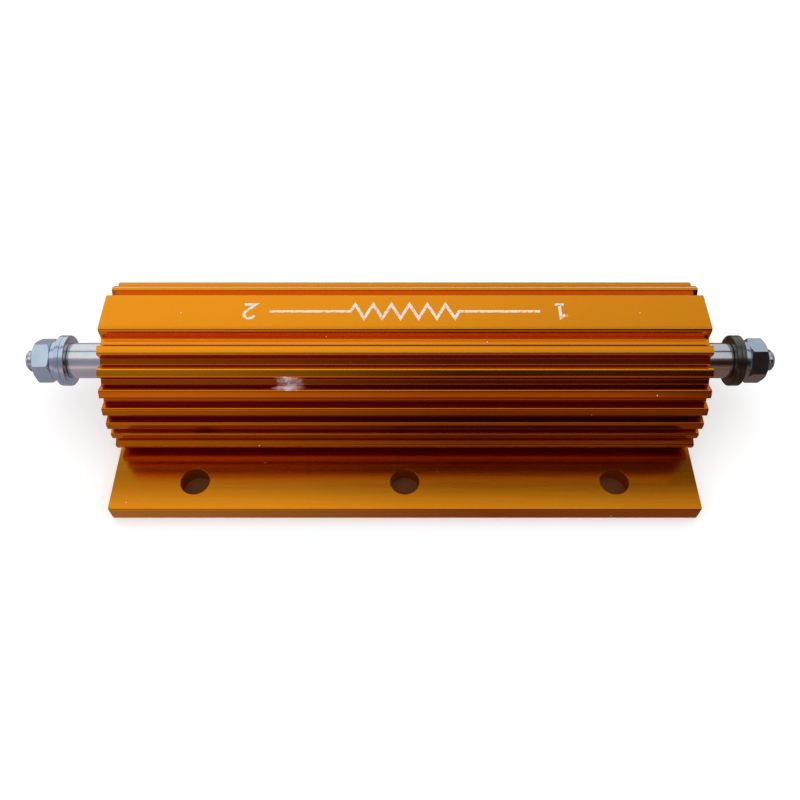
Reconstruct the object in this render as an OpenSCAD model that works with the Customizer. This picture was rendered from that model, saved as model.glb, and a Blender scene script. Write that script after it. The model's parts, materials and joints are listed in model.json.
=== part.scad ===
// Aluminium housed wirewound power resistor with a threaded terminal at each end.
// X runs along the housing, Y across it and Z up. The origin is the middle of the underside.
// A ribbed extrusion holds a ceramic rod wound with resistance wire, potted in cement.

/* [Housing] */
// Length of the extruded housing
body_len = 100; // [80:1:160]
// Width over both mounting flanges
flange_w = 51.5; // [48:0.5:70]
// Thickness of the mounting flanges
flange_t = 3.1; // [2:0.1:3.5]
// Radius along the top edge of a flange
flange_edge_r = 0.3; // [0.1:0.1:1]
// Radius along the bottom edge of a flange
flange_under_r = 0.3; // [0.1:0.05:0.6]
// Radius of the flange corners seen from above
flange_corner_r = 0.4; // [0.2:0.1:3]
// Diameter of the bore that holds the resistance core
bore_d = 15; // [14.5:0.1:17]
// Metal left under the bore
floor_t = 3.25; // [1.2:0.05:3.6]

/* [Ribbed arch] */
// Height of the centre of the arch above the underside
arch_z = 9.65; // [9.3:0.05:10.4]
// Radius of the arch at the roots of the ridges
arch_r = 12.75; // [12.6:0.05:14.5]
// Number of ridges on each side
ridge_count = 7; // [3:1:7]
// Height of a ridge above its root
ridge_h = 1.8; // [1:0.05:2.1]
// Width of a ridge at its tip
ridge_w = 1.5; // [0.9:0.05:1.6]
// Slope of a ridge's sides away from parallel, in degrees
ridge_flank = 9; // [3:0.5:10]
// Angle of the top ridge above the horizontal, in degrees
ridge_first = 61.8; // [60.5:0.1:63]
// Angle between the two top ridges, in degrees
ridge_pitch = 14.75; // [14.25:0.05:15]
// How much that angle shrinks at each ridge further down, in degrees
ridge_tighten = 0.63; // [0.5:0.01:0.75]
// How far the lowest ridge stands out past the others
ridge_last_out = 0.75; // [0:0.05:0.9]
// Radius on the corners of a ridge's tip
ridge_tip_r = 0.4; // [0.1:0.05:0.6]
// Radius at the roots of the ridges
ridge_root_r = 0.35; // [0.2:0.05:0.5]

/* [Marking plate] */
// Width of the flat marking plate on the crown of the arch
plate_w = 7.8; // [5:0.1:8.2]
// Height of the plate above the crown of the arch
plate_rise = 1.65; // [1.2:0.05:3]
// Depth of the step beside the plate
plate_step = 2.3; // [1.95:0.05:2.6]
// Slope of the floor of that step, in degrees
step_slope = 10; // [0:1:16]
// Radius along the edges of the plate
plate_edge_r = 0.6; // [0.3:0.05:0.9]

/* [Mounting holes] */
// Diameter of the mounting holes
hole_d = 5; // [3:0.1:6]
// Distance from the outer holes to the end of the housing
hole_end = 14; // [8:0.5:20]
// Distance from a hole to the long edge of the flange
hole_edge = 5.45; // [4:0.05:6]

/* [Core] */
// Diameter of the ceramic rod
rod_d = 10; // [8:0.1:10.2]
// Diameter of the resistance wire
wire_d = 0.8; // [0.5:0.05:0.9]
// Distance between two turns of the wire
wire_pitch = 2.6; // [2.2:0.1:4]
// Thickness of the metal of an end cap
cap_t = 0.6; // [0.4:0.05:0.8]
// Length of rod that an end cap covers
cap_grip = 6; // [4:0.5:10]
// How far the core sits off the middle of the housing along X
core_shift = -0.8; // [-1.2:0.1:1.2]

/* [Ends of the bore] */
// Depth of the seal's face below the end of the housing
seal_recess = 0.5; // [0.2:0.1:1]
// Thickness of a seal on a core that sits in the middle
seal_t = 3; // [2:0.1:4]
// Thickness of a centring disc
disc_t = 1.5; // [1:0.1:2.5]
// Cement between a terminal's foot and its centring disc
foot_cover = 0.5; // [0.3:0.1:1.5]

/* [Terminals] */
// Diameter of the foot welded to the end cap
foot_d = 9; // [7:0.1:10]
// Thickness of that foot
foot_t = 1; // [0.6:0.1:2]
// Diameter of the smooth shank
shank_d = 6.3; // [5.5:0.1:6.6]
// How far the shank stands out of the housing
shank_out = 8.35; // [5:0.05:15]
// Major diameter of the thread
stud_d = 4; // [3.5:0.1:4.5]
// Length of the threaded stud
stud_len = 7.75; // [7.4:0.05:12]
// Chamfer on the tip of the stud
stud_chamfer = 0.5; // [0.2:0.1:0.8]

/* [Terminal hardware] */
// Outer diameter of a flat washer
washer_d = 9; // [8:0.1:12]
// Thickness of a flat washer
washer_t = 0.85; // [0.6:0.05:1]
// Outer diameter of the spring washer
spring_d = 7.2; // [6.8:0.1:8]
// Thickness of the spring washer
spring_t = 1.15; // [0.9:0.05:1.2]
// Width of the split in the spring washer
spring_split = 0.6; // [0.3:0.1:1]
// Lean of that split away from the axis, in degrees
split_lean = 20; // [0:5:30]
// Width of the nut across its flats
nut_af = 7; // [6.5:0.1:8]
// Height of the nut
nut_t = 3.1; // [2.5:0.1:3.4]
// Angle at which one flat of the left nut faces up from the front, in degrees
nut_turn_left = 66; // [0:1:360]
// Angle at which one flat of the right nut faces up from the front, in degrees
nut_turn_right = 45; // [0:1:360]

/* [Clearances] */
// Radial clearance of the fixed pieces inside the bore
seat_gap = 0.05; // [0.02:0.01:0.1]
// Radial clearance of a washer round the stud
washer_gap = 0.15; // [0.1:0.05:0.3]
// Radial clearance that stands for the thread between nut and stud
thread_gap = 0.05; // [0.02:0.01:0.1]

/* [Hidden] */
$fn = 64;

LEFT = -1;
RIGHT = 1;
corner_steps = 4;
wire_steps = 16;
wire_sides = 5;
// Diameter of a nut's flat face as a share of its width across the flats
nut_face_share = 0.97;
// Turn that keeps the seam of the nut's chamfers off its corners and the middles of its flats
nut_seam_turn = 15;

// Housing
crown_z = arch_z + arch_r;
plate_z = crown_z + plate_rise;
groove_z = plate_z - plate_step;
bore_r = bore_d / 2;
axis_z = floor_t + bore_r;
hole_x = body_len / 2 - hole_end;
hole_y = flange_w / 2 - hole_edge;
ridge_root_half = ridge_w / 2 + ridge_h * tan(ridge_flank);
arch_foot_y = sqrt(arch_r * arch_r - (arch_z - flange_t) * (arch_z - flange_t));

// Distances from the middle of the core along X
disc_out_x = body_len / 2 - seal_recess - seal_t;
disc_in_x = disc_out_x - disc_t;
foot_out_x = disc_in_x - foot_cover;
cap_out_x = foot_out_x - foot_t;
rod_end_x = cap_out_x - cap_t;
cap_in_x = rod_end_x - cap_grip;
shoulder_x = body_len / 2 + shank_out;
inner_washer_x = shoulder_x;
outer_washer_x = inner_washer_x + washer_t;
spring_x = outer_washer_x + washer_t;
nut_x = spring_x + spring_t;
stud_tip_x = shoulder_x + stud_len;

// Radii about the core's axis
rod_r = rod_d / 2;
cap_r = rod_r + seat_gap + cap_t;
shank_r = shank_d / 2;
foot_r = foot_d / 2;
stud_r = stud_d / 2;
washer_hole_r = stud_r + washer_gap;

// The wire's centre line runs along chords, so it is set out until their middles clear the rod
wire_r = wire_d / 2;
wire_path_r = (rod_r + seat_gap + wire_r) / cos(180 / wire_steps);
wire_half_x = cap_in_x - seat_gap - wire_r;
wire_turns = floor(2 * wire_half_x / wire_pitch);
wire_rings = wire_turns * wire_steps;
potting_r = max(wire_path_r + wire_r, cap_r) + seat_gap;

// Unit vector at an angle in the plane of a profile
function unit_at(angle) = [cos(angle), sin(angle)];

// Points of an arc that rounds the corner at b of the path a, b, c, limited by the sides beside it
function round_corner(a, b, c, radius) =
    let (to_a = (a - b) / norm(a - b),
         to_c = (c - b) / norm(c - b),
         half = acos(to_a * to_c) / 2,
         reach = min(radius / tan(half), 0.45 * min(norm(a - b), norm(c - b))),
         arc_r = reach * tan(half),
         middle = b + (to_a + to_c) / norm(to_a + to_c) * arc_r / sin(half),
         spoke = b + to_a * reach - middle,
         start = atan2(spoke[1], spoke[0]),
         sweep = sign(cross(b - a, c - b)) * (180 - 2 * half))
    [for (k = [0 : corner_steps]) middle + arc_r * unit_at(start + sweep * k / corner_steps)];

// Outline with every corner rounded by its own radius: each corner is [x, y, radius]
function rounded_outline(corners) =
    let (n = len(corners), flat = [for (p = corners) [p[0], p[1]]])
    [for (i = [0 : n - 1])
        each round_corner(flat[(i + n - 1) % n], flat[i], flat[(i + 1) % n], corners[i][2])];

// Angle of ridge i, counted down from the plate, whose spacing tightens towards the flange
function ridge_angle(i) = ridge_first - i * ridge_pitch + ridge_tighten * i * (i - 1) / 2;

function ridge_tip(i) = arch_r + ridge_h + (i == ridge_count - 1 ? ridge_last_out : 0);

// Point at a radius from the arch's centre and a distance sideways from ridge i's middle line
function ridge_point(i, radius, sideways) =
    let (out = unit_at(ridge_angle(i)))
    [radius * out[0] - sideways * out[1], arch_z + radius * out[1] + sideways * out[0]];

function with_radius(p, radius) = [p[0], p[1], radius];

// Four corners of ridge i, from its lower root over the tip to its upper root
function ridge_corners(i) = [
    with_radius(ridge_point(i, arch_r, -ridge_root_half), ridge_root_r),
    with_radius(ridge_point(i, ridge_tip(i), -ridge_w / 2), ridge_tip_r),
    with_radius(ridge_point(i, ridge_tip(i), ridge_w / 2), ridge_tip_r),
    with_radius(i == 0 ? plate_side_root() : ridge_point(i, arch_r, ridge_root_half), ridge_root_r)
];

// Where the upper side of the top ridge meets the floor of the step beside the plate
function plate_side_root() =
    let (root = ridge_point(0, arch_r, ridge_root_half),
         flank = ridge_point(0, ridge_tip(0), ridge_w / 2) - root,
         fall = tan(step_slope),
         share = (groove_z - root[1] - fall * (root[0] - plate_w / 2)) / (flank[1] + fall * flank[0]))
    root + share * flank;

// Corners of one half of the housing's cross-section, from the underside up to the plate
half_corners = concat(
    [[flange_w / 2, 0, flange_under_r],
     [flange_w / 2, flange_t, flange_edge_r],
     [arch_foot_y, flange_t, ridge_root_r]],
    [for (i = [ridge_count - 1 : -1 : 0]) each ridge_corners(i)],
    [[plate_w / 2, groove_z, ridge_root_r],
     [plate_w / 2, plate_z, plate_edge_r]]);
half_count = len(half_corners);
mirrored_corners = [for (i = [half_count - 1 : -1 : 0]) let (p = half_corners[i]) [-p[0], p[1], p[2]]];

// Places its children's Z axis along X on the core's axis, turned outwards at the given side
module on_core(side) {
    translate([core_shift, 0, axis_z]) mirror([side == LEFT ? 1 : 0, 0, 0]) rotate([0, 90, 0]) children();
}

// Ring from a distance along the core's axis, with its bore
module ring(from, thick, outer_r, inner_r) {
    translate([0, 0, from]) difference() {
        cylinder(h = thick, r = outer_r);
        translate([0, 0, -1]) cylinder(h = thick + 2, r = inner_r);
    }
}

module housing_blank() {
    plan_x = body_len / 2;
    plan_y = flange_w / 2;
    intersection() {
        rotate([90, 0, 90]) linear_extrude(height = body_len, center = true)
            polygon(rounded_outline(concat(half_corners, mirrored_corners)));
        translate([0, 0, -1]) linear_extrude(height = plate_z + 2)
            polygon(rounded_outline([for (q = [[1, 1], [-1, 1], [-1, -1], [1, -1]])
                [q[0] * plan_x, q[1] * plan_y, flange_corner_r]]));
    }
}

module housing() {
    color("darkorange") difference() {
        housing_blank();
        translate([0, 0, axis_z]) rotate([0, 90, 0]) cylinder(h = body_len + 2, r = bore_r, center = true);
        for (x = [-hole_x, 0, hole_x], y = [-hole_y, hole_y])
            translate([x, y, -1]) cylinder(h = flange_t + 2, d = hole_d);
    }
}

module ceramic_rod() {
    color("ivory") on_core(RIGHT) cylinder(h = 2 * rod_end_x, r = rod_r, center = true);
}

// One helix of round wire, its ends lying against the rims of the two caps
module resistance_wire() {
    span = 2 * wire_half_x;
    points = [for (i = [0 : wire_rings], j = [0 : wire_sides - 1])
        let (turn = 360 * i / wire_steps,
             radius = wire_path_r + wire_r * cos(360 * j / wire_sides),
             along = span * i / wire_rings - wire_half_x + wire_r * sin(360 * j / wire_sides))
        [radius * cos(turn), radius * sin(turn), along]];
    walls = [for (i = [0 : wire_rings - 1], j = [0 : wire_sides - 1])
        let (here = i * wire_sides, next = (j + 1) % wire_sides)
        each [[here + j, here + next, here + wire_sides + next],
              [here + j, here + wire_sides + next, here + wire_sides + j]]];
    first = [for (j = [wire_sides - 1 : -1 : 0]) j];
    last = [for (j = [0 : wire_sides - 1]) wire_rings * wire_sides + j];
    color("dimgray") on_core(RIGHT) polyhedron(points = points, faces = concat(walls, [first, last]));
}

// Pressed cup over one end of the rod
module end_cap(side) {
    color("silver") on_core(side) difference() {
        translate([0, 0, cap_in_x]) cylinder(h = cap_out_x - cap_in_x, r = cap_r);
        translate([0, 0, cap_in_x - 1]) cylinder(h = rod_end_x - cap_in_x + 1, r = rod_r + seat_gap);
    }
}

// Cement that fills the bore round the core, from one centring disc to the other
module potting_cement() {
    outer = bore_r - seat_gap;
    foot_room = [cap_out_x + seat_gap, foot_out_x + seat_gap];
    half = [[outer, disc_in_x],
            [shank_r + seat_gap, disc_in_x], [shank_r + seat_gap, foot_room[1]],
            [foot_r + seat_gap, foot_room[1]], [foot_r + seat_gap, foot_room[0]],
            [potting_r, foot_room[0]]];
    other = [for (i = [len(half) - 1 : -1 : 0]) [half[i][0], -half[i][1]]];
    color("tan") on_core(RIGHT) rotate_extrude() polygon(concat(half, other));
}

module centring_disc(side) {
    color("wheat") on_core(side) ring(disc_in_x, disc_t, bore_r - seat_gap, shank_r + seat_gap);
}

// Silicone cement poured onto the disc, up to a little below the end of the housing
module end_seal(side) {
    seal_out_x = body_len / 2 - seal_recess - side * core_shift;
    color("lightgray") on_core(side)
        ring(disc_out_x, seal_out_x - disc_out_x, bore_r - seat_gap, shank_r + seat_gap);
}

// Turned in one piece: a foot on the end cap, a smooth shank and the threaded stud
module terminal(side) {
    color("gainsboro") on_core(side) rotate_extrude() polygon([
        [0, cap_out_x], [foot_r, cap_out_x], [foot_r, foot_out_x], [shank_r, foot_out_x],
        [shank_r, shoulder_x], [stud_r, shoulder_x], [stud_r, stud_tip_x - stud_chamfer],
        [stud_r - stud_chamfer, stud_tip_x], [0, stud_tip_x]]);
}

module flat_washer(side, from) {
    color("silver") on_core(side) ring(from, washer_t, washer_d / 2, washer_hole_r);
}

// Split ring, closed flat under the nut, with the split on the side away from the front
module spring_washer(side) {
    split_depth = spring_d / 2 - washer_hole_r + 2;
    color("lightsteelblue") on_core(side) difference() {
        ring(spring_x, spring_t, spring_d / 2, washer_hole_r);
        translate([0, (spring_d / 2 + washer_hole_r) / 2, spring_x + spring_t / 2]) rotate([0, split_lean, 0])
            cube([spring_split, split_depth, 3 * spring_t], center = true);
    }
}

// Hexagon nut chamfered on both faces, with one flat at the given angle above the front
module hex_nut(side, turn) {
    corner_r = nut_af / 2 / cos(30);
    face_r = nut_face_share * nut_af / 2;
    chamfer = (corner_r - face_r) * tan(30);
    color("silver") on_core(side) translate([0, 0, nut_x]) rotate([0, 0, -turn]) difference() {
        intersection() {
            cylinder(h = nut_t, r = corner_r, $fn = 6);
            rotate([0, 0, nut_seam_turn]) rotate_extrude() polygon([[0, 0], [face_r, 0], [corner_r, chamfer],
                [corner_r, nut_t - chamfer], [face_r, nut_t], [0, nut_t]]);
        }
        translate([0, 0, -1]) cylinder(h = nut_t + 2, r = stud_r + thread_gap);
    }
}

housing();
ceramic_rod();
resistance_wire();
end_cap(LEFT);  // end_cap_left
end_cap(RIGHT);  // end_cap_right
potting_cement();
centring_disc(LEFT);  // centring_disc_left
centring_disc(RIGHT);  // centring_disc_right
end_seal(LEFT);  // end_seal_left
end_seal(RIGHT);  // end_seal_right
terminal(LEFT);  // terminal_left
terminal(RIGHT);  // terminal_right
flat_washer(LEFT, inner_washer_x);  // inner_washer_left
flat_washer(RIGHT, inner_washer_x);  // inner_washer_right
flat_washer(LEFT, outer_washer_x);  // outer_washer_left
flat_washer(RIGHT, outer_washer_x);  // outer_washer_right
spring_washer(LEFT);  // spring_washer_left
spring_washer(RIGHT);  // spring_washer_right
hex_nut(LEFT, nut_turn_left);  // nut_left
hex_nut(RIGHT, nut_turn_right);  // nut_right
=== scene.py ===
"""Dresses an aluminium housed power resistor and sets up its studio.

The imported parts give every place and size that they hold, in metres: X runs along the housing, Y across it
and Z up. Each operator finishes one piece or one group of like pieces, and its settings say what can change.
"""
import json
import math

import bmesh
import bpy
from bpy.props import FloatProperty, FloatVectorProperty, IntProperty, PointerProperty
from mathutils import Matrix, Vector, noise


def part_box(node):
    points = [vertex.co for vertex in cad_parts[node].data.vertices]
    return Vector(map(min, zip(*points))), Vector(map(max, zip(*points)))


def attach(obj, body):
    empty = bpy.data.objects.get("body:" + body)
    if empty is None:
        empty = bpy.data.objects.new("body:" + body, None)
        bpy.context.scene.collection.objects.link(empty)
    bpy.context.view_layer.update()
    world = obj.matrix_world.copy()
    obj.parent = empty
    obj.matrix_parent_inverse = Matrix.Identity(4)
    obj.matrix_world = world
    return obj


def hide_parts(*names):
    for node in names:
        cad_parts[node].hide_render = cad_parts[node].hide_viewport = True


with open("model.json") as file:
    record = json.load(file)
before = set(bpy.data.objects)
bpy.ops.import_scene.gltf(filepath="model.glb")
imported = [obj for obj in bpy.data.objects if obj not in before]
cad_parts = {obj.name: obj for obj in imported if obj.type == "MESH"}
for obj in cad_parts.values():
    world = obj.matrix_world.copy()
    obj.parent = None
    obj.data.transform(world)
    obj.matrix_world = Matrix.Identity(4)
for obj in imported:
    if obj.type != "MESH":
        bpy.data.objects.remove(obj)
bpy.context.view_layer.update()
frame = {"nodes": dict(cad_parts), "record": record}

bl_info = {
    "name": "Aluminium housed power resistor",
    "version": (1, 0, 0),
    "blender": (4, 5, 0),
    "location": "3D Viewport > Sidebar > Resistor",
    "description": "Finishes the packed parts of a ribbed power resistor and lights them",
    "category": "Object",
}

MM = 0.001
BODY = "root"
NEAR = 0.01 * MM  # distance under which two places count as one
THREAD_STEPS = 12  # rings of the mesh in one turn of a thread
SEAL_STEPS = 8  # rings of the mesh across the face of a seal
TERMINAL_SIDES = 48  # points of a ring round a terminal
HARDWARE_SIDES = 96  # points of a ring round a nut or a washer
SEAL_SIDES = 72  # points of a ring round a seal
SIDES = ("left", "right")
CORE = sum(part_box("terminal_left"), Vector()) / 2  # a point on the axis that the core and the terminals share

# The housing: each pair is where a change of its colour, a painted shade, starts and where it is complete
LOW_RIDGES = (20.6 * MM, 18.2 * MM)  # heights over which the lower ridges darken, a painted shade
ARCH_FOOT = (3.0 * MM, 4.0 * MM)  # heights at which the arch rises out of the flange
GROOVE_DEPTHS = (14.2 * MM, 13.1 * MM)  # distances from the middle line of the arch, down into the grooves
UNDER_STEP = (21.6 * MM, 21.2 * MM)  # heights below the step beside the plate
FLANGE_Y = 18 * MM  # only the flanges are level farther from the middle than this
FLANGE_RIM_Y = 24 * MM  # the holes lie nearer the middle than this, and the flanges' long edges farther out
HOLE_SIDE = 1 * MM  # every straight piece of a hole's rim is shorter than this

# The studio
TENT_RADIUS = 0.6
TENT_FADE = (-0.14, 0.6)  # places along X between which the tent dims
FLOOR_DROP = 0.02 * MM  # how far the floor lies below the housing
MAT_DROP = 0.01 * MM  # how far the mat lies below it
MAT_MARGIN = (2 * MM, 1.5 * MM)  # how far the mat stays inside the housing's outline
CARD_LIFT = 0.05 * MM  # how far the card lies above the floor
CARD_SIDE = 0.25  # place along X of either end of the card
CARD_BACK = 0.14  # place along Y of its back edge
# Its outline in Y and Z in front of the housing, past the camera, and that of its strip overhead
CARD_FRONT = ((-0.14, CARD_LIFT), (-0.175, 0.03), (-0.175, 0.09), (-0.12, 0.12), (-0.0295, 0.0783))
CARD_OVERHEAD = ((0.0293, 0.1), (0.048, 0.1))
CARD_HEIGHTS = (0.02, 0.1)  # heights between which the card darkens
CARD_FOOT = (0.001, 0.02)  # heights between which it leaves the floor's shade
CARD_PALE = (0.015, -0.075)  # places along X between which its left end grows pale
CARD_DARK = (0.08, 0.115)  # places along X between which its right end darkens


# ---------------------------------------------------------------------------------------------- settings

def linear(code):
    """Linear colour of an sRGB hex code."""
    parts = [int(code[i:i + 2], 16) / 255 for i in (1, 3, 5)]
    return tuple(c / 12.92 if c <= 0.04045 else ((c + 0.055) / 1.055) ** 2.4 for c in parts)


def size(name, millimetres, description):
    """Length property."""
    return FloatProperty(name=name, description=description, default=millimetres * MM, min=0, unit="LENGTH",
                         subtype="DISTANCE", precision=5)


def share(name, value, description, top=1.0):
    """Property that is a plain number."""
    return FloatProperty(name=name, description=description, default=value, min=0, max=top, subtype="FACTOR")


def angle(name, degrees, description):
    """Angle property."""
    return FloatProperty(name=name, description=description, default=math.radians(degrees), unit="ROTATION",
                         subtype="ANGLE")


def colour(name, code, description):
    """Colour property whose default is an sRGB hex code."""
    return FloatVectorProperty(name=name, description=description, default=linear(code), size=3, min=0, max=1,
                               subtype="COLOR")


class HousingSettings(bpy.types.PropertyGroup):
    gold: colour("Gold", "#EC961E", "Dye of the anodised skin")
    deep_gold: colour("Deep gold", "#E48C18", "Dye where the skin took up more of it")
    bare: colour("Bare metal", "#F6F0F8", "Aluminium where the skin is rubbed through")
    roughness: share("Roughness", 0.15, "Roughness of the anodised skin")
    line_spacing: size("Die line spacing", 0.35, "Distance between the lines that the die leaves")
    line_depth: size("Die line depth", 0.002, "Depth of those lines")
    edge: size("Cut edge", 0.18, "Width of the broken edge at the sawn ends and the drilled holes")
    arch_z: size("Arch", 9.65, "Height of the middle of the ribbed arch")
    # Painted shade: these two colours darken the lower ridges and the bottoms of the grooves for the shade that
    # falls there, not for a deeper dye
    low_ridge_shade: colour("Low gold", "#D07210", "Dye on the lower ridges")
    groove_shade: colour("Groove gold", "#B6560C", "Dye at the bottom of the grooves")
    scuff_place: FloatVectorProperty(name="Scuff place", description="Middle of the rubbed patch", size=3,
                                     unit="LENGTH", subtype="TRANSLATION",
                                     default=(-18.8 * MM, -10.6 * MM, 18.6 * MM))
    scuff_reach: FloatVectorProperty(name="Scuff reach", description="Half its length, width and height",
                                     size=3, unit="LENGTH", subtype="TRANSLATION",
                                     default=(4.3 * MM, 1.4 * MM, 1.35 * MM))
    scuff_fade: size("Scuff fade", 2.0, "Distance over which the patch fades from its middle to the right")


class PrintSettings(bpy.types.PropertyGroup):
    ink: colour("Ink", "#E9E4DC", "White ink of the terminal numbers and the symbol")
    worn: colour("Worn ink", "#E2B070", "Ink where the gold shows through")
    height: size("Height", 3.0, "Height of the printed numbers")
    stroke: size("Stroke", 0.5, "Width of the symbol's lines")
    reach: size("Reach", 25.6, "Distance from the middle of the print to either end")
    thickness: size("Thickness", 0.02, "Thickness of the ink")
    teeth: IntProperty(name="Teeth", description="Number of teeth of the symbol", default=6, min=3, max=12)


class TerminalSettings(bpy.types.PropertyGroup):
    metal: colour("Nickel", "#DADDE2", "Nickel plating of the terminals")
    tint: colour("Clouded nickel", "#C4C6CE", "Nickel where the plating is thinner")
    shank_d: size("Shank", 6.3, "Diameter of the smooth shank")
    stud_d: size("Thread", 4.0, "Major diameter of the thread")
    pitch: size("Pitch", 0.7, "Distance between two turns of the thread")
    thread_depth: size("Thread depth", 0.4, "Depth of the thread")
    tip: size("Tip chamfer", 0.5, "Chamfer on the tip of the stud")
    edge: size("Shoulder", 0.15, "Broken edge of the shoulder")
    foot: size("Foot", 1.0, "Thickness of the foot on the end cap")


class HardwareSettings(bpy.types.PropertyGroup):
    zinc: colour("Zinc", "#C6D0DA", "Bright zinc plating of the nuts and washers")
    # Painted shade: a darker copy of the zinc for the right flat washers, not zinc that has gone dull
    shaded_zinc: colour("Dulled zinc", "#6E706A", "Zinc of the right flat washers, which has gone dull and dark")
    blue: colour("Blue tint", "#9FB6D2", "Blue passivation of the zinc")
    nut_af: size("Nut", 7.0, "Width of a nut across its flats")
    nut_face: share("Nut face", 0.97, "Diameter of a nut's face as a share of its width across the flats")
    washer_hole: size("Washer hole", 4.3, "Diameter of the hole of a washer")
    split: size("Split", 0.6, "Width of the split of a spring washer")
    slant: angle("Slant", 20, "Lean of that split away from the axis")
    rolled: size("Rolled edge", 0.2, "Rounding of an edge that the punch or the rolls eased")
    sharp: size("Sharp edge", 0.06, "Rounding of an edge that was left sharp")
    thread_gap: size("Thread gap", 0.03, "Room between the thread of the nut and that of the stud")


class CoreSettings(bpy.types.PropertyGroup):
    silicone: colour("Silicone", "#B9B6AE", "Silicone cement that closes the bore")
    cement: colour("Cement", "#C0B5A2", "Cement round the core")
    steatite: colour("Steatite", "#EDE6D6", "Fired body of the rod")
    alloy: colour("Alloy", "#8A857F", "Resistance wire")
    mica: colour("Mica board", "#C9AE7C", "Centring discs")
    cap: colour("Cap", "#C8C8C4", "Pressed end caps")
    sink: size("Sink", 0.25, "How far the free face of a seal sank as it set")
    gap: size("Gap", 0.05, "Room between a seal and the shank")


class StudioSettings(bpy.types.PropertyGroup):
    tilt: angle("Tilt", 55.2, "Angle of the view below the horizontal")
    lens: FloatProperty(name="Lens", description="Focal length in millimetres on a 36 mm sensor",
                        default=37.125, min=10, max=200)
    eye: FloatVectorProperty(name="Camera", description="Place of the camera", size=3, unit="LENGTH",
                             subtype="TRANSLATION", default=(-0.82 * MM, -89.68 * MM, 127.47 * MM))
    floor: colour("Floor", "#F4F4F4", "Plain pale floor")
    # Painted shade: the mat is a dark sheet that stands in for the shade under the housing seen down its holes
    mat: colour("Mat", "#7A441C", "Brown felt under the housing")
    sky: share("Light", 1.0, "Level of the soft light that dull surfaces get from all round", 4.0)
    lit: share("Lit side", 1.04, "Brightness of the tent at its left end", 4.0)
    shaded: share("Shaded side", 0.45, "Brightness of the tent at its right end", 4.0)
    card_low: share("Card, low", 0.66, "Brightness of the dark card near the floor")
    card_high: share("Card, high", 0.05, "Brightness of the dark card at its top")
    card_left: share("Card, left", 0.35, "Brightness that the left end of the card adds")
    card_floor: share("Card, floor", 0.3, "Share of its brightness that the card keeps on the floor")
    card_right: share("Card, right", 0.35, "Share of its brightness that the right end of the card keeps")
    card_shade: colour("Card", "#FFC8B4", "Warm shade of the dark card")
    card_pale: colour("Card, left shade", "#E2ECFF", "Shade that its left end adds")


# --------------------------------------------------------------------------------------------- materials

def node(tree, kind, inputs=(), **settings):
    """Adds a shader node: settings are its own properties, inputs its socket values or what feeds them."""
    made = tree.nodes.new("ShaderNode" + kind)
    for name, value in settings.items():
        setattr(made, name, value)
    for name, value in dict(inputs).items():
        if isinstance(value, bpy.types.NodeSocket):
            tree.links.new(value, made.inputs[name])
        else:
            made.inputs[name].default_value = value
    return made


def new_material(name):
    """Empty node material with its output node, and the object coordinates that its patterns start from."""
    material = bpy.data.materials.new(name)
    material.use_nodes = True
    tree = material.node_tree
    tree.nodes.clear()
    place = node(tree, "TexCoord").outputs["Object"]
    return material, tree, place, node(tree, "OutputMaterial")


def rgba(rgb):
    return (*rgb, 1.0)


def gold_dye_and_shade(tree, place, s):
    """Socket of the skin's colour: dye in clouds drawn out along the extrusion, with painted shade that darkens
    the lower ridges and darkens the bottoms of the grooves further."""
    drawn = node(tree, "Mapping", {"Vector": place, "Scale": (0.4, 1, 1)}).outputs[0]
    clouds = node(tree, "TexNoise", {"Vector": drawn, "Scale": 1 / (15 * MM), "Detail": 2.0})
    dye = node(tree, "Mix", {"Factor": clouds.outputs["Fac"], "A": rgba(s.gold), "B": rgba(s.deep_gold)},
               data_type="RGBA")
    axes = node(tree, "SeparateXYZ", {0: place}).outputs
    # Painted shade: a darker colour on the ridges above the flange as they get lower, and darker still at the
    # bottoms of the grooves
    lower = node(tree, "MapRange", {"Value": axes["Z"], "From Min": LOW_RIDGES[0], "From Max": LOW_RIDGES[1]})
    arch = node(tree, "MapRange", {"Value": axes["Z"], "From Min": ARCH_FOOT[0], "From Max": ARCH_FOOT[1]})
    low_shade_mask = node(tree, "Math", {0: lower.outputs["Result"], 1: arch.outputs["Result"]}, operation="MULTIPLY")
    dye = node(tree, "Mix", {"Factor": low_shade_mask.outputs[0], "A": dye.outputs["Result"], "B": rgba(s.low_ridge_shade)},
               data_type="RGBA")
    above = node(tree, "Math", {0: axes["Z"], 1: s.arch_z}, operation="SUBTRACT").outputs[0]
    from_arch = node(tree, "CombineXYZ", {"Y": axes["Y"], "Z": above}).outputs[0]
    radius = node(tree, "VectorMath", {0: from_arch}, operation="LENGTH").outputs["Value"]
    groove = node(tree, "MapRange", {"Value": radius, "From Min": GROOVE_DEPTHS[0],
                                     "From Max": GROOVE_DEPTHS[1]})
    side = node(tree, "MapRange", {"Value": axes["Z"], "From Min": UNDER_STEP[0], "From Max": UNDER_STEP[1]})
    groove_shade_mask = node(tree, "Math", {0: groove.outputs["Result"], 1: side.outputs["Result"]},
                   operation="MULTIPLY")
    return node(tree, "Mix", {"Factor": groove_shade_mask.outputs[0], "A": dye.outputs["Result"],
                              "B": rgba(s.groove_shade)}, data_type="RGBA").outputs["Result"]


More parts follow.
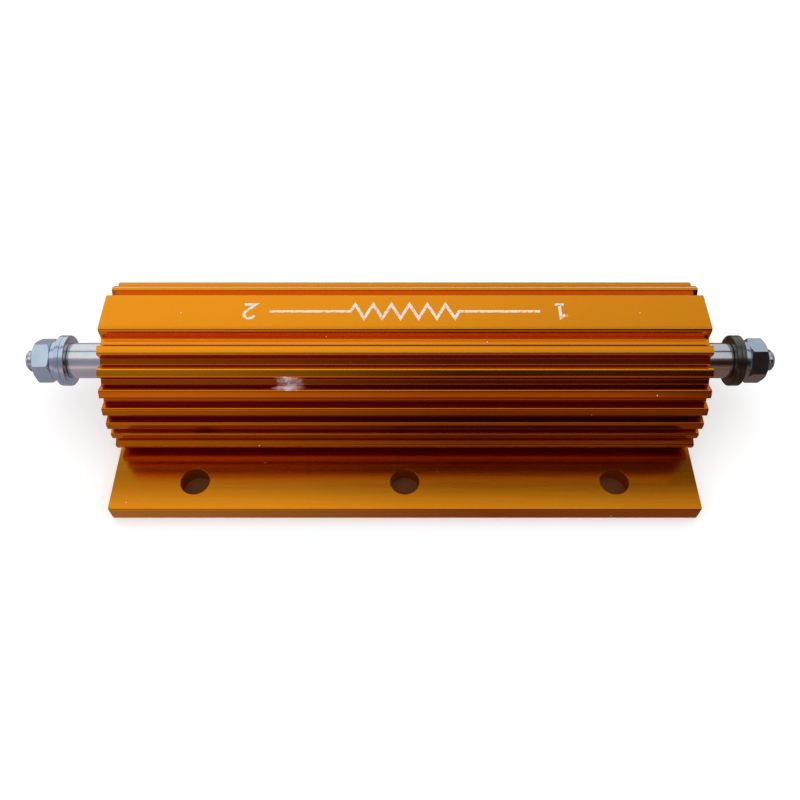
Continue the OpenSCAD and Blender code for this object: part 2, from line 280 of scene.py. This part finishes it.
def bared_metal(tree, place, s):
    """Socket that is 1 where the skin is gone: one patch between two ridges, torn at its edge and lighter
    towards the right, and sparse specks at the peaks of a fine noise."""
    spot = node(tree, "Mapping", {"Vector": place, "Location": [-c for c in s.scuff_place]}).outputs[0]
    reach = node(tree, "Mapping", {"Vector": spot, "Scale": [1 / c for c in s.scuff_reach]}).outputs[0]
    apart = node(tree, "VectorMath", {0: reach}, operation="LENGTH").outputs["Value"]
    torn = node(tree, "TexNoise", {"Vector": place, "Scale": 1 / (1.2 * MM), "Detail": 4.0, "Roughness": 0.7})
    rim = node(tree, "Math", {0: torn.outputs["Fac"], 1: 0.6, 2: apart}, operation="MULTIPLY_ADD")
    patch = node(tree, "MapRange", {"Value": rim.outputs[0], "From Min": 1.28, "From Max": 0.98})
    along = node(tree, "SeparateXYZ", {0: place}).outputs["X"]
    middle = s.scuff_place[0]
    fade = node(tree, "MapRange", {"Value": along, "From Min": middle, "From Max": middle + s.scuff_fade,
                                   "To Min": 1.0, "To Max": 0.5})
    rubbed = node(tree, "Math", {0: patch.outputs["Result"], 1: fade.outputs["Result"]}, operation="MULTIPLY")
    dots = node(tree, "TexNoise", {"Vector": place, "Scale": 1 / (0.6 * MM), "Detail": 0.0})
    speck = node(tree, "MapRange", {"Value": dots.outputs["Fac"], "From Min": 0.895, "From Max": 0.92})
    return node(tree, "Math", {0: rubbed.outputs[0], 1: speck.outputs["Result"]},
                operation="MAXIMUM").outputs[0]


def anodised_aluminium_extruded(s):
    """Aluminium extrusion, gold anodised: a coloured satin mirror with fine die lines along its length. Its dye
    is uneven, painted shade darkens its lower ridges and the bottoms of its grooves, and one patch and a few
    specks show pale bare metal."""
    material, tree, place, out = new_material("anodised_aluminium_extruded")
    # Die lines: noise drawn out fifty times along X, at the spacing of the lines across it
    along = node(tree, "Mapping", {"Vector": place, "Scale": (0.02, 1, 1)}).outputs[0]
    lines = node(tree, "TexNoise", {"Vector": along, "Scale": 1 / s.line_spacing, "Detail": 3.0,
                                    "Roughness": 0.6}).outputs["Fac"]
    worn = bared_metal(tree, place, s)
    skin_colour = node(tree, "Mix", {"Factor": worn, "A": gold_dye_and_shade(tree, place, s), "B": rgba(s.bare)},
                       data_type="RGBA")
    metal = node(tree, "MapRange", {"Value": worn, "To Min": 1.0, "To Max": 0.25})
    # Fine pits of the etched skin, drawn at 0.25 mm because the real ones are too fine to show
    pits = node(tree, "TexNoise", {"Vector": place, "Scale": 1 / (0.25 * MM), "Detail": 2.0})
    rough = node(tree, "MapRange", {"Value": lines, "To Min": s.roughness - 0.04,
                                    "To Max": s.roughness + 0.05})
    relief = node(tree, "Math", {0: pits.outputs["Fac"], 1: 0.25, 2: lines}, operation="MULTIPLY_ADD")
    bump = node(tree, "Bump", {"Height": relief.outputs[0], "Strength": 0.6, "Distance": s.line_depth})
    shader = node(tree, "BsdfPrincipled", {
        "Base Color": skin_colour.outputs["Result"], "Metallic": metal.outputs["Result"],
        "Roughness": rough.outputs["Result"], "Normal": bump.outputs[0]})
    tree.links.new(shader.outputs[0], out.inputs["Surface"])
    return material


def plated_steel(name, metal, tint, roughness, grain):
    """Steel with a bright plating: a pale mirror, slightly clouded, with the fine marks of its making."""
    material, tree, place, out = new_material(name)
    clouds = node(tree, "TexNoise", {"Vector": place, "Scale": 1 / (2.5 * MM), "Detail": 2.0})
    base = node(tree, "Mix", {"Factor": clouds.outputs["Fac"], "A": rgba(metal), "B": rgba(tint)},
                data_type="RGBA")
    marks = node(tree, "TexNoise", {"Vector": place, "Scale": 1 / grain, "Detail": 3.0, "Roughness": 0.65})
    rough = node(tree, "MapRange", {"Value": marks.outputs["Fac"], "To Min": roughness * 0.7,
                                    "To Max": roughness * 1.4})
    bump = node(tree, "Bump", {"Height": marks.outputs["Fac"], "Strength": 0.5, "Distance": 0.004 * MM})
    shader = node(tree, "BsdfPrincipled", {
        "Base Color": base.outputs["Result"], "Metallic": 1.0, "Roughness": rough.outputs["Result"],
        "Normal": bump.outputs[0]})
    tree.links.new(shader.outputs[0], out.inputs["Surface"])
    return material


def epoxy_ink_printed(s):
    """White epoxy ink, pad printed on the anodising: matt and dense, with gold showing through where thin."""
    material, tree, place, out = new_material("epoxy_ink_printed")
    thin = node(tree, "TexNoise", {"Vector": place, "Scale": 1 / (0.5 * MM), "Detail": 3.0})
    cover = node(tree, "MapRange", {"Value": thin.outputs["Fac"], "From Min": 0.36, "From Max": 0.5})
    shade = node(tree, "Mix", {"Factor": cover.outputs["Result"], "A": rgba(s.worn), "B": rgba(s.ink)},
                 data_type="RGBA")
    rough = node(tree, "MapRange", {"Value": thin.outputs["Fac"], "To Min": 0.4, "To Max": 0.6})
    bump = node(tree, "Bump", {"Height": thin.outputs["Fac"], "Strength": 0.5, "Distance": 0.01 * MM})
    shader = node(tree, "BsdfPrincipled", {
        "Base Color": shade.outputs["Result"], "Roughness": rough.outputs["Result"],
        "Normal": bump.outputs[0]})
    tree.links.new(shader.outputs[0], out.inputs["Surface"])
    return material


def matt_solid(name, base, roughness, grain, depth):
    """Dull mineral or polymer body: an even matt colour, mottled and rough at the size of its grains."""
    material, tree, place, out = new_material(name)
    mottle = node(tree, "TexNoise", {"Vector": place, "Scale": 1 / (6 * grain), "Detail": 3.0})
    darker = rgba([0.72 * c for c in base])
    shade = node(tree, "Mix", {"Factor": mottle.outputs["Fac"], "A": darker, "B": rgba(base)},
                 data_type="RGBA")
    grains = node(tree, "TexNoise", {"Vector": place, "Scale": 1 / grain, "Detail": 4.0})
    rough = node(tree, "MapRange", {"Value": grains.outputs["Fac"], "To Min": roughness - 0.08,
                                    "To Max": roughness + 0.08})
    bump = node(tree, "Bump", {"Height": grains.outputs["Fac"], "Strength": 0.6, "Distance": depth})
    shader = node(tree, "BsdfPrincipled", {
        "Base Color": shade.outputs["Result"], "Roughness": rough.outputs["Result"],
        "Normal": bump.outputs[0]})
    tree.links.new(shader.outputs[0], out.inputs["Surface"])
    return material


# ------------------------------------------------------------------------------------------------ pieces

def settle(name, mesh, material, replaced, smooth=math.radians(30)):
    """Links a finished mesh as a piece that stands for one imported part."""
    mesh.materials.clear()
    mesh.materials.append(material)
    mesh.shade_smooth()
    mesh.set_sharp_from_angle(angle=smooth)
    piece = bpy.data.objects.new(name, mesh)
    bpy.context.scene.collection.objects.link(piece)
    # Flat faces keep their own direction and only the narrow rounded ones turn from one to the next
    normals = piece.modifiers.new("flat faces lead", "WEIGHTED_NORMAL")
    normals.mode = "FACE_AREA"
    normals.weight = 90
    normals.keep_sharp = True
    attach(piece, BODY)
    if replaced:
        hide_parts(replaced)
    return piece


def slot_of(part):
    """Material slot that the record gives a part."""
    return next(row["material_slot"] for row in frame["record"]["subparts"] if row["node"] == part)


def skin(loops, joined):
    """Mesh of quads between neighbouring loops of points. The last loop joins the first, or both ends are
    capped."""
    bm = bmesh.new()
    rows = [[bm.verts.new(p) for p in loop] for loop in loops]
    pairs = zip(rows, rows[1:] + rows[:1]) if joined else zip(rows, rows[1:])
    for here, there in pairs:
        for k in range(len(here)):
            after = (k + 1) % len(here)
            bm.faces.new((here[k], here[after], there[after], there[k]))
    if not joined:
        bm.faces.new(rows[0])
        bm.faces.new(rows[-1])
    bmesh.ops.recalc_face_normals(bm, faces=bm.faces)
    return bm


def to_mesh(name, bm):
    """Finished mesh of the loose one that is given, which is used up."""
    mesh = bpy.data.meshes.new(name)
    bm.to_mesh(mesh)
    bm.free()
    return mesh


def eased(corners, steps=3):
    """Points of a closed profile with rounded corners: each corner is its two places and the length that its
    rounding takes from the sides."""
    points = []
    for k, (*place, ease) in enumerate(corners):
        corner = Vector(place)
        ends = [corner + (Vector(other[:2]) - corner).normalized() * ease
                for other in (corners[k - 1], corners[(k + 1) % len(corners)])]
        for i in range(steps + 1):
            t = i / steps
            points.append((1 - t) ** 2 * ends[0] + 2 * t * (1 - t) * corner + t * t * ends[1])
    return points


def on_core(x, radius, turn):
    """Point at a place along the core's axis, a distance from it and an angle from the back over the top."""
    return Vector((x, CORE.y + radius * math.cos(turn), CORE.z + radius * math.sin(turn)))


def turned(profile, steps, start=0.0):
    """Loops round the core's axis, one for each point of the profile. Its place along X and its radius are
    numbers, or functions of the angle."""
    def at(value, turn):
        return value(turn) if callable(value) else value

    turns = [start + math.tau * k / steps for k in range(steps)]
    return [[on_core(at(x, turn), at(radius, turn), turn) for turn in turns] for x, radius in profile]


def thread(major, depth, pitch, x):
    """Radius of a screw thread at a place along X, as a function of the angle: its crests are flat for an
    eighth of the pitch and its roots for a quarter."""
    def radius(turn):
        rise = abs(2 * ((x / pitch - turn / math.tau) % 1.0) - 1)
        return major - depth * min(max((rise - 0.125) / 0.625, 0.0), 1.0)
    return radius


def part_ends(part, side):
    """Places along X of a part's two ends, first the one nearer the middle of the housing."""
    low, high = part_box(part)
    return (high.x, low.x) if side == "left" else (low.x, high.x)


class RESISTOR_OT_housing(bpy.types.Operator):
    """Breaks the housing's sawn and drilled edges and gives it its gold anodised skin"""
    bl_idname = "resistor.housing"
    bl_label = "Finish housing"

    def execute(self, context):
        s = context.scene.resistor_housing
        bm = bmesh.new()
        bm.from_mesh(frame["nodes"]["housing"].data)
        bmesh.ops.remove_doubles(bm, verts=bm.verts, dist=0.001 * MM)
        bmesh.ops.dissolve_limit(bm, angle_limit=math.radians(0.5), verts=bm.verts, edges=bm.edges)
        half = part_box("housing")[1].x
        flange_z = self.flange_top(bm)
        sharp = [e for e in bm.edges if e.calc_face_angle(0) > math.radians(60)]
        rims = [e for e in sharp if e.calc_length() < HOLE_SIDE and all(
            abs(v.co.z - flange_z) < NEAR and abs(v.co.y) < FLANGE_RIM_Y and abs(v.co.x) < 0.9 * half
            for v in e.verts)]
        cut = [e for e in sharp if all(abs(abs(v.co.x) - half) < NEAR for v in e.verts)]
        bmesh.ops.bevel(bm, geom=rims + cut, offset=s.edge, segments=1, affect="EDGES", clamp_overlap=True)
        mesh = to_mesh("gold_housing", bm)
        settle("gold_housing", mesh, anodised_aluminium_extruded(s), "housing")
        # The flanges are quite flat, so no shading runs over from the roundings beside them
        for edge in mesh.edges:
            if all(abs(mesh.vertices[k].co.z - flange_z) < NEAR for k in edge.vertices):
                edge.use_edge_sharp = True
        return {"FINISHED"}

    def flange_top(self, bm):
        """Height of the flanges' upper face."""
        level = next(f for f in bm.faces if f.normal.z > 0.99 and abs(f.calc_center_median().y) > FLANGE_Y)
        return level.calc_center_median().z


class RESISTOR_OT_print(bpy.types.Operator):
    """Prints the plain circuit symbol and the terminal numbers on the marking plate"""
    bl_idname = "resistor.print"
    bl_label = "Print marking"

    def execute(self, context):
        s = context.scene.resistor_print
        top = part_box("housing")[1].z
        bm = bmesh.new()
        for shift, points in self.strokes(s):
            # Turned half round, so that it reads from the back of the housing
            path = [Vector((-(u + shift), -v, top)) for u, v in points]
            piece = self.ribbon(path, s.stroke, s.thickness)
            part = bpy.data.meshes.new("stroke")
            piece.to_mesh(part)
            piece.free()
            bm.from_mesh(part)
            bpy.data.meshes.remove(part)
        settle("printed_marking", to_mesh("printed_marking", bm), epoxy_ink_printed(s), None)
        return {"FINISHED"}

    def strokes(self, s):
        """Lines of the marking, each with how far it is moved along: a zigzag on its leads, a 1 and a 2."""
        tall = s.height
        tooth = s.reach * 0.7 / (2 * s.teeth)
        zigzag = [(tooth * (k - s.teeth + 0.5), tall * (0.5 - k % 2)) for k in range(2 * s.teeth)]
        lead = s.reach - 1.1 * tall
        symbol = [(-lead, 0.0), (-tooth * s.teeth, 0.0), *zigzag, (tooth * s.teeth, 0.0), (lead, 0.0)]
        bowl = [(0.3 * tall * math.cos(math.radians(a)), 0.2 * tall + 0.3 * tall * math.sin(math.radians(a)))
                for a in range(160, -31, -19)]
        return [
            (0.0, symbol),
            (-s.reach, [(-0.25 * tall, 0.25 * tall), (0.0, 0.45 * tall), (0.0, -0.45 * tall)]),
            (-s.reach, [(-0.25 * tall, -0.5 * tall), (0.25 * tall, -0.5 * tall)]),
            (s.reach, [*bowl, (-0.3 * tall, -0.5 * tall), (0.32 * tall, -0.5 * tall)]),
        ]

    def ribbon(self, path, width, thickness):
        """Level band along a path, with mitred corners."""
        lift = Vector((0, 0, thickness))
        last = len(path) - 1
        loops = []
        for k, p in enumerate(path):
            before = (path[max(k - 1, 0)], path[max(k, 1)])
            after = (path[min(k, last - 1)], path[min(k + 1, last)])
            runs = [(b - a).normalized() for a, b in (before, after)]
            mitre = runs[0] + runs[1]
            side = Vector((-mitre.y, mitre.x, 0)).normalized()
            reach = 0.5 * width / max(side.dot(Vector((-runs[0].y, runs[0].x, 0))), 0.35)
            left, right = p + side * reach, p - side * reach
            loops.append([left, right, right + lift, left + lift])
        return skin(loops, False)


class RESISTOR_OT_terminals(bpy.types.Operator):
    """Cuts the thread on the studs and gives the terminals their nickel plating"""
    bl_idname = "resistor.terminals"
    bl_label = "Thread terminals"

    def execute(self, context):
        s = context.scene.resistor_terminal
        nickel = plated_steel("nickel_plated_steel_turned", s.metal, s.tint, roughness=0.16, grain=0.3 * MM)
        for side in SIDES:
            part = "terminal_" + side
            low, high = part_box(part)
            way = -1 if side == "left" else 1
            foot, tip = part_ends(part, side)
            shoulder = part_ends("inner_washer_" + side, side)[0]
            foot_top = foot + way * s.foot
            foot_r = (high.z - low.z) / 2
            shank = s.shank_d / 2
            stud = s.stud_d / 2
            profile = [(foot, foot_r), (foot_top, foot_r), (foot_top, shank),
                       (shoulder - way * s.edge, shank), (shoulder, shank - s.edge),
                       (shoulder, stud - s.thread_depth)]
            run = abs(tip - shoulder)
            count = round(THREAD_STEPS * run / s.pitch)
            for i in range(1, count + 1):
                x = shoulder + way * run * i / count
                cap = stud - max(s.tip - run * (1 - i / count), 0.0)
                cut = thread(stud, s.thread_depth, s.pitch, x)
                profile.append((x, lambda turn, cut=cut, cap=cap: min(cut(turn), cap)))
            mesh = to_mesh(part, skin(turned(profile, TERMINAL_SIDES), False))
            settle("threaded_" + part, mesh, nickel, part)
        return {"FINISHED"}


class RESISTOR_OT_hardware(bpy.types.Operator):
    """Stamps the washers, coils the spring washers and threads the nuts, in bright zinc plating, with a darker
    copy of it on the right flat washers as painted shade
    """
    bl_idname = "resistor.hardware"
    bl_label = "Finish nuts and washers"

    def execute(self, context):
        s = context.scene.resistor_hardware
        zinc = plated_steel("zinc_plated_steel_tumbled", s.zinc, s.blue, roughness=0.2, grain=0.35 * MM)
        # Painted shade: the same zinc made darker, for the right flat washers
        shaded_zinc = plated_steel("zinc_plated_steel_shaded", s.shaded_zinc, [0.6 * c for c in s.shaded_zinc],
                              roughness=0.3, grain=0.35 * MM)
        makers = {"inner_washer": self.flat_washer, "outer_washer": self.flat_washer,
                  "spring_washer": self.spring_washer, "nut": self.nut}
        for side in SIDES:
            for kind, maker in makers.items():
                part = f"{kind}_{side}"
                near, far = part_ends(part, side)
                mesh = to_mesh(part, maker(context.scene, part, near, far))
                # Painted shade: the right flat washers take the darker copy of the zinc
                dark = side == "right" and maker == self.flat_washer
                settle("plated_" + part, mesh, shaded_zinc if dark else zinc, part)
        return {"FINISHED"}

    def flat_washer(self, scene, part, near, far):
        """Stamped ring: the punch rolled its near edge over and left the far one sharp."""
        s = scene.resistor_hardware
        low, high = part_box(part)
        outer = (high.z - low.z) / 2
        inner = s.washer_hole / 2
        section = eased([(near, inner, s.sharp), (near, outer, s.rolled), (far, outer, s.sharp),
                         (far, inner, s.sharp)])
        return skin(turned(section, HARDWARE_SIDES), True)

    def spring_washer(self, scene, part, near, far):
        """Ring coiled from square wire, cut on a slant and pressed flat."""
        s = scene.resistor_hardware
        low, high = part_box(part)
        outer = (high.z - low.z) / 2
        inner = s.washer_hole / 2
        section = eased([(near, inner, s.rolled), (near, outer, s.rolled), (far, outer, s.rolled),
                         (far, inner, s.rolled)])
        middle = (near + far) / 2
        mean = (inner + outer) / 2
        open_half = s.split / 2 / mean
        loops = []
        for k in range(HARDWARE_SIDES + 1):
            turn = open_half + (math.tau - 2 * open_half) * k / HARDWARE_SIDES
            loops.append([on_core(x, r, turn + math.tan(s.slant) * (x - middle) / mean) for x, r in section])
        return skin(loops, False)

    def nut(self, scene, part, near, far):
        """Hexagon nut: both faces are turned to a cone at the corners, and the thread opens wider at each."""
        s = scene.resistor_hardware
        screw = scene.resistor_terminal
        spokes = [v.co - CORE for v in frame["nodes"][part].data.vertices]
        corner = max(spokes, key=lambda spoke: spoke.yz.length)
        start = math.atan2(corner.z, corner.y)
        face = s.nut_face * s.nut_af / 2
        way = math.copysign(1, far - near)

        def side_wall(turn):
            return s.nut_af / 2 / math.cos((turn - start) % (math.tau / 6) - math.tau / 12)

        def cone(end, inward):
            return lambda turn: end + inward * (side_wall(turn) - face) * math.tan(math.radians(30))

        minor = screw.stud_d / 2 - screw.thread_depth + s.thread_gap
        mouth = screw.stud_d / 2 + s.sharp
        sink = mouth - minor
        profile = [(near, mouth), (near, face), (cone(near, way), side_wall), (cone(far, -way), side_wall),
                   (far, face), (far, mouth)]
        run = abs(far - near) - 2 * sink
        count = round(THREAD_STEPS * run / screw.pitch)
        for i in range(count + 1):
            x = far - way * (sink + run * i / count)
            cut = thread(screw.stud_d / 2, screw.thread_depth, screw.pitch, x)
            profile.append((x, lambda turn, cut=cut: cut(turn) + s.thread_gap))
        bm = skin(turned(profile, HARDWARE_SIDES, start), True)
        outside = [e for e in bm.edges if e.calc_face_angle(0) > math.radians(20)
                   and all((v.co - CORE).yz.length > 0.95 * face for v in e.verts)]
        bmesh.ops.bevel(bm, geom=outside, offset=s.sharp, segments=2, profile=0.6, affect="EDGES",
                        clamp_overlap=True)
        return bm


class RESISTOR_OT_core(bpy.types.Operator):
    """Pours the two seals and gives the rod, wire, cement, discs and caps in the bore their materials"""
    bl_idname = "resistor.core"
    bl_label = "Finish core"

    def execute(self, context):
        s = context.scene.resistor_core
        silicone = matt_solid("silicone_cement_poured", s.silicone, roughness=0.62, grain=0.5 * MM,
                              depth=0.05 * MM)
        finishes = {
            "cement": matt_solid("potting_cement_cast", s.cement, roughness=0.85, grain=0.3 * MM,
                                 depth=0.05 * MM),
            "steatite": matt_solid("steatite_fired", s.steatite, roughness=0.55, grain=0.2 * MM,
                                   depth=0.01 * MM),
            "insulating_board": matt_solid("mica_board_pressed", s.mica, roughness=0.5, grain=0.8 * MM,
                                           depth=0.02 * MM),
            "resistance_alloy": plated_steel("resistance_alloy_drawn", s.alloy, [0.8 * c for c in s.alloy],
                                             roughness=0.4, grain=0.2 * MM),
            "nickel_plated_steel": plated_steel("nickel_plated_steel_pressed", s.cap,
                                                [0.85 * c for c in s.cap], roughness=0.25, grain=0.4 * MM),
        }
        for side in SIDES:
            part = "end_seal_" + side
            settle("poured_" + part, to_mesh(part, self.seal(context.scene, part, side)), silicone, part)
        for part, made in frame["nodes"].items():
            if slot_of(part) in finishes and not made.hide_render:
                made.data.materials[0] = finishes[slot_of(part)]
        return {"FINISHED"}

    def seal(self, scene, part, side):
        """Plug whose free face sank a little as it set and clings to the bore and to the shank."""
        s = scene.resistor_core
        near, far = part_ends(part, side)
        way = math.copysign(1, far - near)
        low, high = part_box(part)
        outer = (high.z - low.z) / 2
        inner = scene.resistor_terminal.shank_d / 2 + s.gap
        profile = [(near, inner), (near, outer)]
        for k in range(SEAL_STEPS + 1):
            across = k / SEAL_STEPS
            radius = outer + (inner - outer) * across
            sunk = s.sink * (1 - (2 * across - 1) ** 4)

            def surface(turn, radius=radius, sunk=sunk):
                spot = Vector((radius * math.cos(turn), radius * math.sin(turn), far))
                ripple = noise.noise(spot / (2.5 * MM))
                return far - way * sunk * (1 + 0.5 * ripple)
            profile.append((surface, radius))
        return skin(turned(profile, SEAL_SIDES), True)


class RESISTOR_OT_studio(bpy.types.Operator):
    """Sets the floor, the soft light and the camera"""
    bl_idname = "resistor.studio"
    bl_label = "Set up studio"

    def execute(self, context):
        s = context.scene.resistor_studio
        scene = context.scene
        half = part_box("housing")[1]
        bm = bmesh.new()
        bmesh.ops.create_grid(bm, x_segments=1, y_segments=1, size=3.0)
        floor = self.stand("floor", bm, self.paper(s))
        floor.location.z = -FLOOR_DROP

        # Painted shade: a dark brown mat under the housing, where there is only shade, which its holes look
        # down on
        bm = bmesh.new()
        bmesh.ops.create_grid(bm, x_segments=1, y_segments=1, size=1.0)
        bmesh.ops.scale(bm, vec=(half.x - MAT_MARGIN[0], half.y - MAT_MARGIN[1], 1), verts=bm.verts)
        shade_felt = matt_solid("painted_shade_felt", s.mat, roughness=0.9, grain=0.4 * MM, depth=0.05 * MM)
        mat = self.stand("mat", bm, shade_felt)
        mat.location.z = -MAT_DROP

        # Tent of cloth that the metal mirrors: lit from the left, shaded to the right
        bm = bmesh.new()
        bmesh.ops.create_uvsphere(bm, u_segments=48, v_segments=24, radius=TENT_RADIUS)
        tent = self.stand("tent", bm, self.cloth(s))
        card = self.stand("card", self.card_strips(half), self.dark_card(s))
        for thing in (tent, card):
            for ray in ("camera", "diffuse", "transmission", "shadow"):
                setattr(thing, "visible_" + ray, False)

        world = bpy.data.worlds.new("soft_room")
        scene.world = world
        world.use_nodes = True
        world.cycles.sampling_method = "NONE"
        tree = world.node_tree
        tree.nodes.clear()
        level = node(tree, "MapRange", {"Value": self.looked_at(tree), "To Min": s.sky, "To Max": 1.0})
        back = node(tree, "Background", {"Color": (1, 1, 1, 1), "Strength": level.outputs["Result"]})
        tree.links.new(back.outputs[0], node(tree, "OutputWorld").inputs["Surface"])

        camera = bpy.data.objects.new("camera", bpy.data.cameras.new("camera"))
        scene.collection.objects.link(camera)
        camera.data.lens = s.lens
        camera.data.sensor_width = 36
        camera.data.clip_start = 5 * MM
        camera.location = s.eye
        camera.rotation_euler = (math.pi / 2 - s.tilt, 0, 0)
        scene.camera = camera
        scene.view_settings.view_transform = "Standard"
        return {"FINISHED"}

    def card_strips(self, half):
        """Dark card that the metal mirrors: on the floor all round the housing, up in front past the camera,
        and a strip overhead."""
        beside = [(half.y, CARD_LIFT), (-half.y, CARD_LIFT)]
        strips = [(-CARD_SIDE, CARD_SIDE, [(CARD_BACK, CARD_LIFT), (half.y, CARD_LIFT)]),
                  (-CARD_SIDE, -half.x, beside),
                  (half.x, CARD_SIDE, beside),
                  (-CARD_SIDE, CARD_SIDE, [(-half.y, CARD_LIFT), *CARD_FRONT]),
                  (-CARD_SIDE, CARD_SIDE, CARD_OVERHEAD)]
        bm = bmesh.new()
        for left, right, rows in strips:
            loops = [[bm.verts.new((x, y, z)) for y, z in rows] for x in (left, right)]
            for k in range(len(rows) - 1):
                bm.faces.new((loops[0][k], loops[1][k], loops[1][k + 1], loops[0][k + 1]))
        return bm

    def stand(self, name, bm, material):
        """Adds a thing that belongs to the stage."""
        thing = bpy.data.objects.new(name, to_mesh(name, bm))
        thing.data.materials.append(material)
        bpy.context.scene.collection.objects.link(thing)
        return thing

    def looked_at(self, tree):
        """Socket that is 1 where the camera sees a surface, straight or in metal or glass."""
        path = node(tree, "LightPath")
        seen = node(tree, "Math", {0: path.outputs["Is Camera Ray"], 1: path.outputs["Is Glossy Ray"]},
                    operation="ADD")
        return node(tree, "Math", {0: seen.outputs[0], 1: path.outputs["Is Transmission Ray"]},
                    operation="ADD", use_clamp=True).outputs[0]

    def paper(self, s):
        """White paper: dull, with a lift that keeps it pale where it is looked at."""
        material, tree, place, out = new_material("floor_paper")
        lift = node(tree, "Math", {0: self.looked_at(tree), 1: 0.25}, operation="MULTIPLY")
        dull = node(tree, "BsdfDiffuse", {"Color": rgba(s.floor)})
        glow = node(tree, "Emission", {"Color": (1, 1, 1, 1), "Strength": lift.outputs[0]})
        both = node(tree, "AddShader", {0: dull.outputs[0], 1: glow.outputs[0]})
        tree.links.new(both.outputs[0], out.inputs["Surface"])
        material.cycles.emission_sampling = "NONE"
        return material

    def cloth(self, s):
        """Lit cloth: bright at the left end, dim at the right."""
        material, tree, place, out = new_material("tent_cloth")
        along = node(tree, "SeparateXYZ", {0: place}).outputs["X"]
        level = node(tree, "MapRange", {"Value": along, "From Min": TENT_FADE[0], "From Max": TENT_FADE[1],
                                        "To Min": s.lit, "To Max": s.shaded})
        glow = node(tree, "Emission", {"Color": (1, 1, 1, 1), "Strength": level.outputs["Result"]})
        tree.links.new(glow.outputs[0], out.inputs["Surface"])
        material.cycles.emission_sampling = "NONE"
        return material

    def dark_card(self, s):
        """Dull dark card: pale low down, but dimmed on the floor itself, darker at its right end and with a
        cool glow at its left."""
        material, tree, place, out = new_material("dark_card")
        axes = node(tree, "SeparateXYZ", {0: place}).outputs
        height = node(tree, "MapRange", {"Value": axes["Z"], "From Min": CARD_HEIGHTS[0],
                                         "From Max": CARD_HEIGHTS[1], "To Min": s.card_low,
                                         "To Max": s.card_high})
        left = node(tree, "MapRange", {"Value": axes["X"], "From Min": CARD_PALE[0], "From Max": CARD_PALE[1],
                                       "To Min": 0.0, "To Max": s.card_left})
        right = node(tree, "MapRange", {"Value": axes["X"], "From Min": CARD_DARK[0],
                                        "From Max": CARD_DARK[1], "To Min": 1.0, "To Max": s.card_right})
        foot = node(tree, "MapRange", {"Value": axes["Z"], "From Min": CARD_FOOT[0], "From Max": CARD_FOOT[1],
                                       "To Min": s.card_floor, "To Max": 1.0})
        level = node(tree, "Math", {0: height.outputs["Result"], 1: right.outputs["Result"]},
                     operation="MULTIPLY")
        level = node(tree, "Math", {0: level.outputs[0], 1: foot.outputs["Result"]}, operation="MULTIPLY")
        dim = node(tree, "Emission", {"Color": rgba(s.card_shade), "Strength": level.outputs[0]})
        pale = node(tree, "Emission", {"Color": rgba(s.card_pale), "Strength": left.outputs["Result"]})
        both = node(tree, "AddShader", {0: dim.outputs[0], 1: pale.outputs[0]})
        tree.links.new(both.outputs[0], out.inputs["Surface"])
        material.cycles.emission_sampling = "NONE"
        return material


class RESISTOR_PT_panel(bpy.types.Panel):
    """Lists the operators of the resistor and their settings"""
    bl_idname = "RESISTOR_PT_panel"
    bl_label = "Power resistor"
    bl_space_type = "VIEW_3D"
    bl_region_type = "UI"
    bl_category = "Resistor"

    def draw(self, context):
        for operator, settings in STEPS:
            self.layout.operator(operator)
            group = getattr(context.scene, settings)
            for name in group.__annotations__:
                self.layout.prop(group, name)


STEPS = (
    ("resistor.housing", "resistor_housing"),
    ("resistor.print", "resistor_print"),
    ("resistor.terminals", "resistor_terminal"),
    ("resistor.hardware", "resistor_hardware"),
    ("resistor.core", "resistor_core"),
    ("resistor.studio", "resistor_studio"),
)
GROUPS = {
    "resistor_housing": HousingSettings,
    "resistor_print": PrintSettings,
    "resistor_terminal": TerminalSettings,
    "resistor_hardware": HardwareSettings,
    "resistor_core": CoreSettings,
    "resistor_studio": StudioSettings,
}
CLASSES = (
    *GROUPS.values(),
    RESISTOR_OT_housing,
    RESISTOR_OT_print,
    RESISTOR_OT_terminals,
    RESISTOR_OT_hardware,
    RESISTOR_OT_core,
    RESISTOR_OT_studio,
    RESISTOR_PT_panel,
)


def register():
    """Adds the operators, the panel and the settings to Blender."""
    for item in CLASSES:
        bpy.utils.register_class(item)
    for name, group in GROUPS.items():
        setattr(bpy.types.Scene, name, PointerProperty(type=group))


def unregister():
    """Takes them away again."""
    for name in GROUPS:
        delattr(bpy.types.Scene, name)
    for item in reversed(CLASSES):
        bpy.utils.unregister_class(item)


def main():
    """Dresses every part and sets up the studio."""
    register()
    for operator, _ in STEPS:
        family, action = operator.split(".")
        getattr(getattr(bpy.ops, family), action)()


if __name__ == "__main__":
    main()
